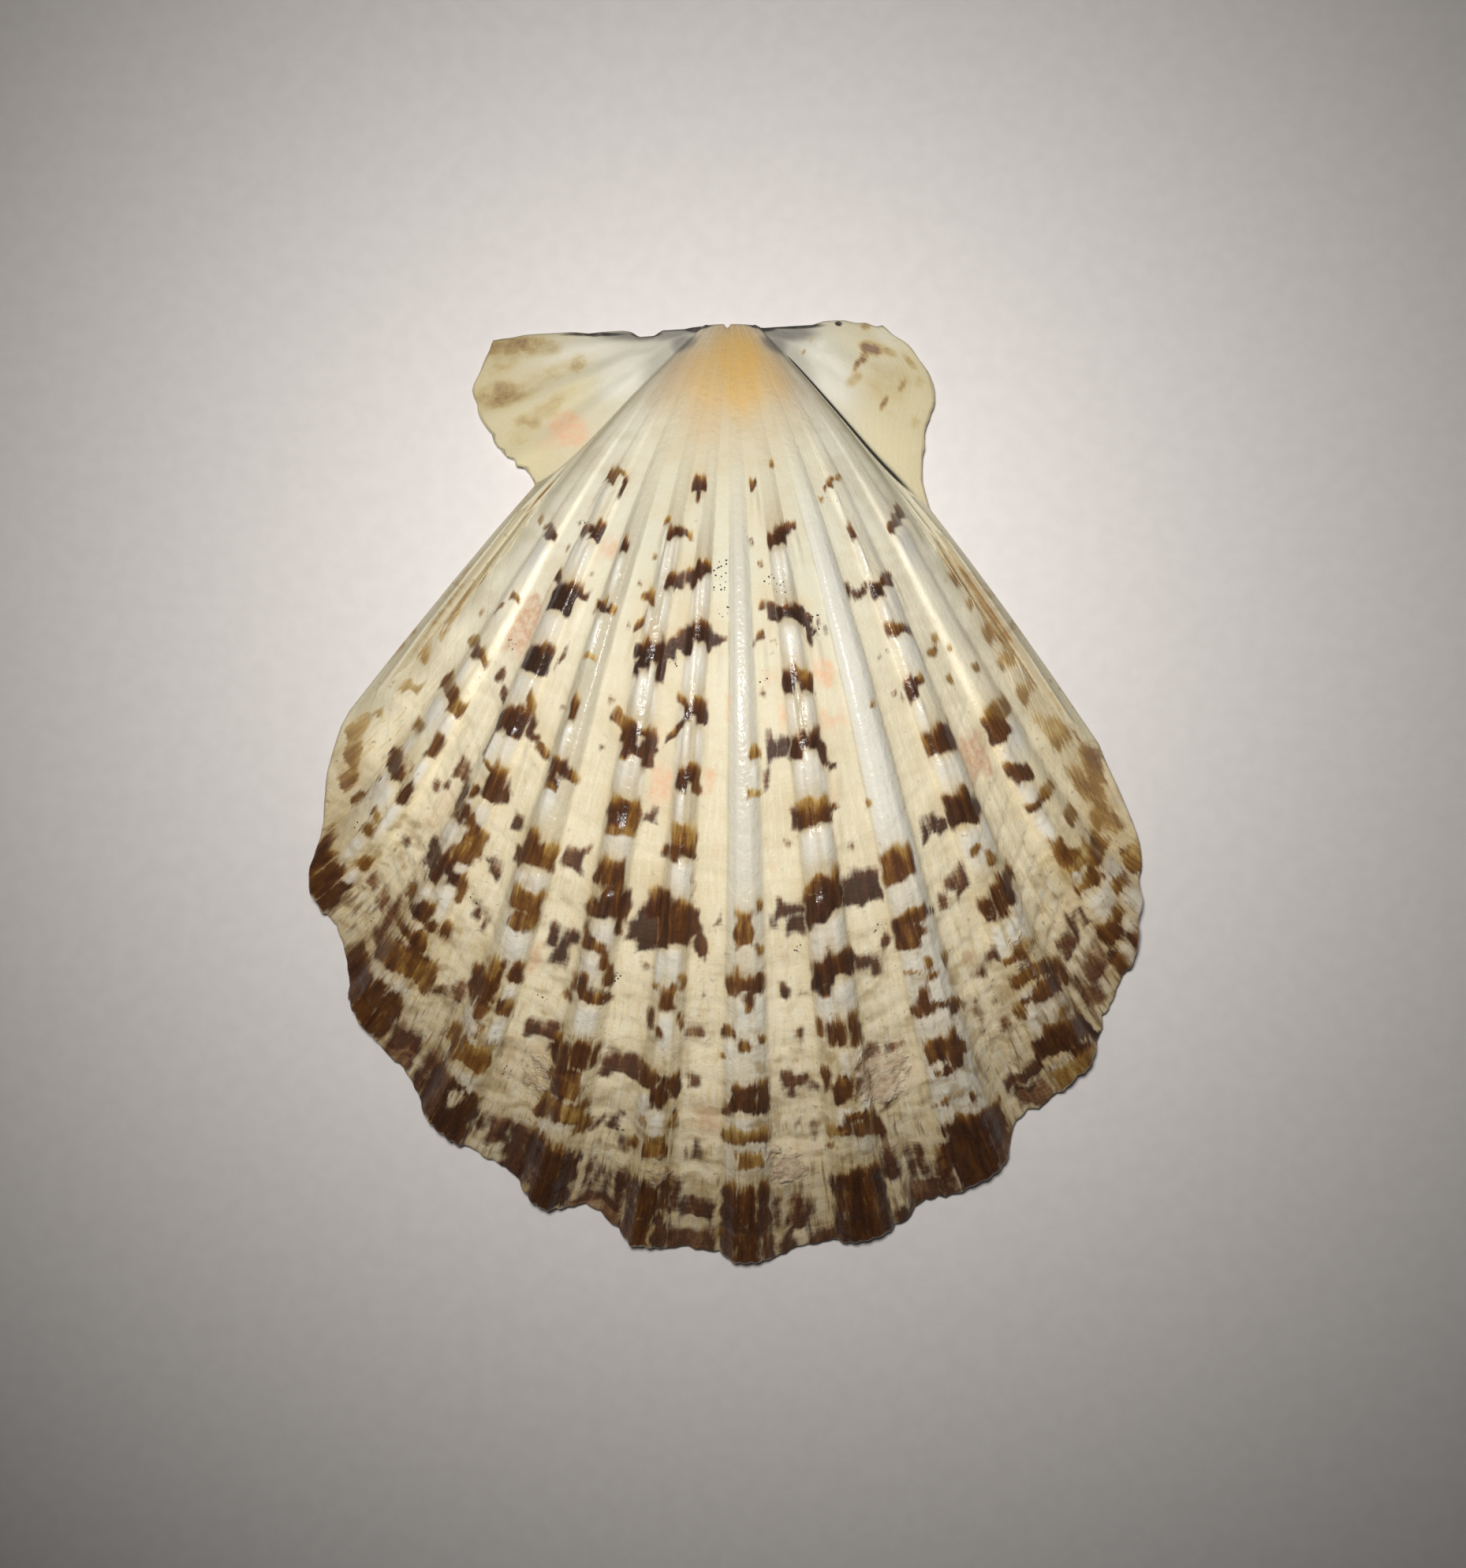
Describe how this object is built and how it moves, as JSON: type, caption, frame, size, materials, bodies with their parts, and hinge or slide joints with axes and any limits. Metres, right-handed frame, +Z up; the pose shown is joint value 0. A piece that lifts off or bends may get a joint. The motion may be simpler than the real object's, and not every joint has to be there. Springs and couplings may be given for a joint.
{
  "type": "scallop shell",
  "caption": "Single scallop valve with flat ribs, two unequal ears and a fluted margin, lying with its domed outside up.",
  "frame": {"origin": "middle of the bounding box at the resting plane", "axes": "+Z up out of the domed outside, +Y from the ventral margin to the hinge, +X towards the shorter ear"},
  "size_m": [0.0668, 0.0754, 0.0151],
  "materials": {
    "shell": "glossy"
  },
  "bodies": {
    "root": {"valve": "shell"}
  },
  "joints": []
}
